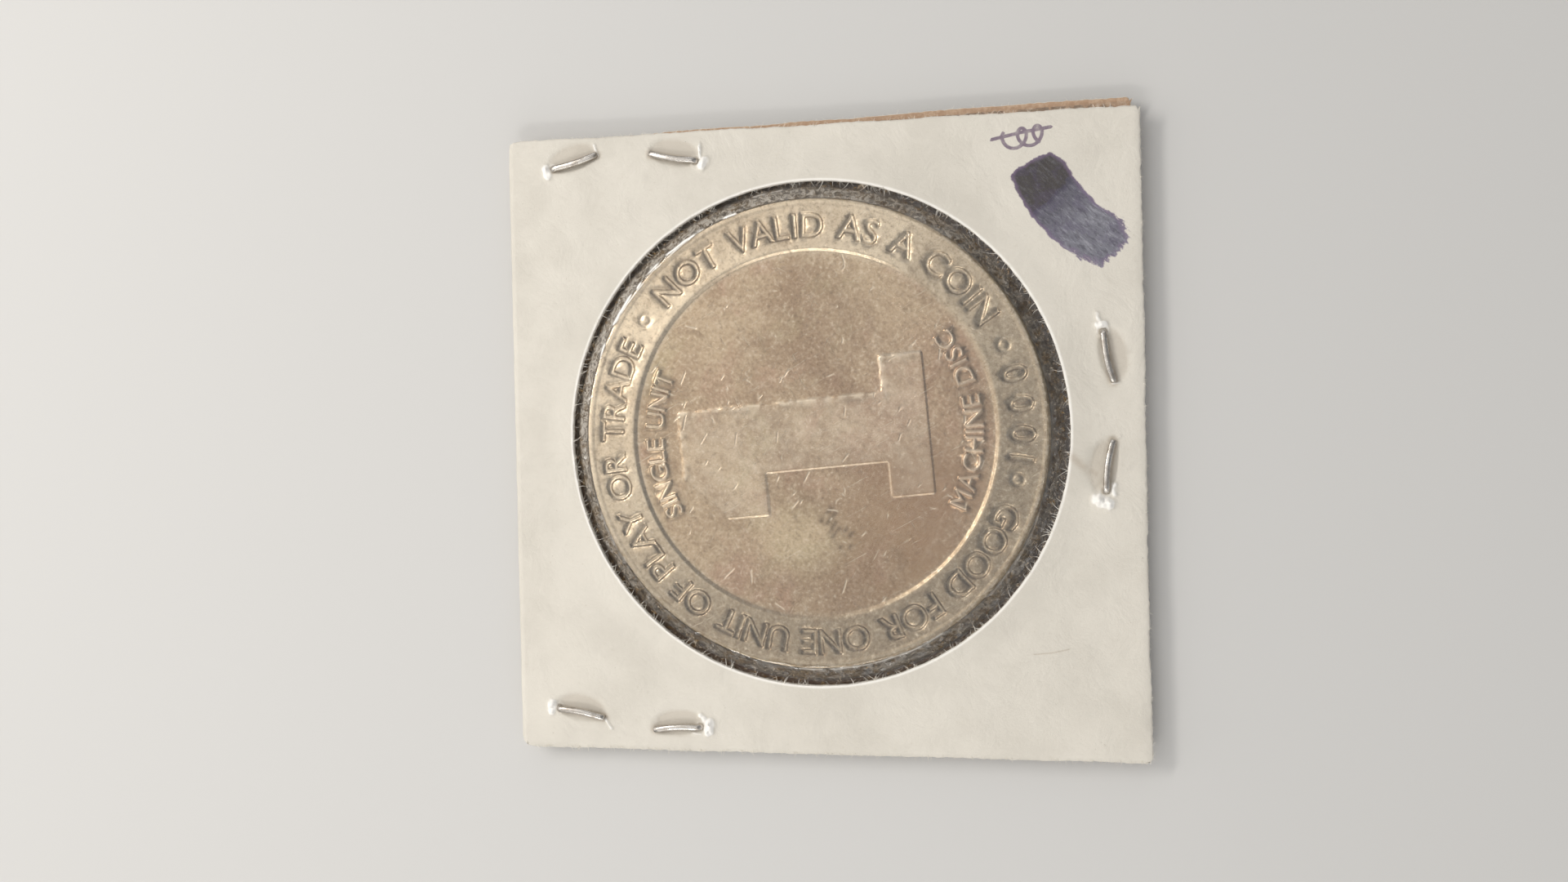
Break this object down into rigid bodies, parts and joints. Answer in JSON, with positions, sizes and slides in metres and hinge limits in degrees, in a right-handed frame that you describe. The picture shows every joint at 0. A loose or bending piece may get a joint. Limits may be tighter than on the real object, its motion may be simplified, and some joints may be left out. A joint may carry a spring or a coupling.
{
  "type": "metal token in a stapled card holder",
  "caption": "Dollar-size metal token with a block numeral, held behind clear film in a folded and stapled square card holder with round windows.",
  "frame": {"origin": "on the token's axis, on the flat of the back film, which is the lowest face when the holder lies on its back", "axes": "+Z out of the front face, along the token's axis; +X from the fold to the card's free side; +Y up the card along the fold"},
  "size_m": [0.0508, 0.0506, 0.0027],
  "materials": {
    "token_metal": "worn nickel silver",
    "card_front": "coated off-white board",
    "card_back": "coated off-white board",
    "card_fold": "coated off-white board",
    "film_front": "clear polyester film",
    "film_back": "clear polyester film",
    "staple_wire": "galvanised wire"
  },
  "bodies": {
    "holder": {"front_panel": "card_front", "back_panel": "card_back", "fold_spine": "card_fold", "front_film": "film_front", "back_film": "film_back", "staple_top": "staple_wire", "staple_right": "staple_wire", "staple_bottom": "staple_wire"},
    "token": {"token": "token_metal"}
  },
  "joints": [
    {"name": "token_spin", "type": "hinge", "parent": "holder", "child": "token", "pos_m": [0, 0, 0.00136], "axis": [0, 0, 1], "continuous": true}
  ]
}
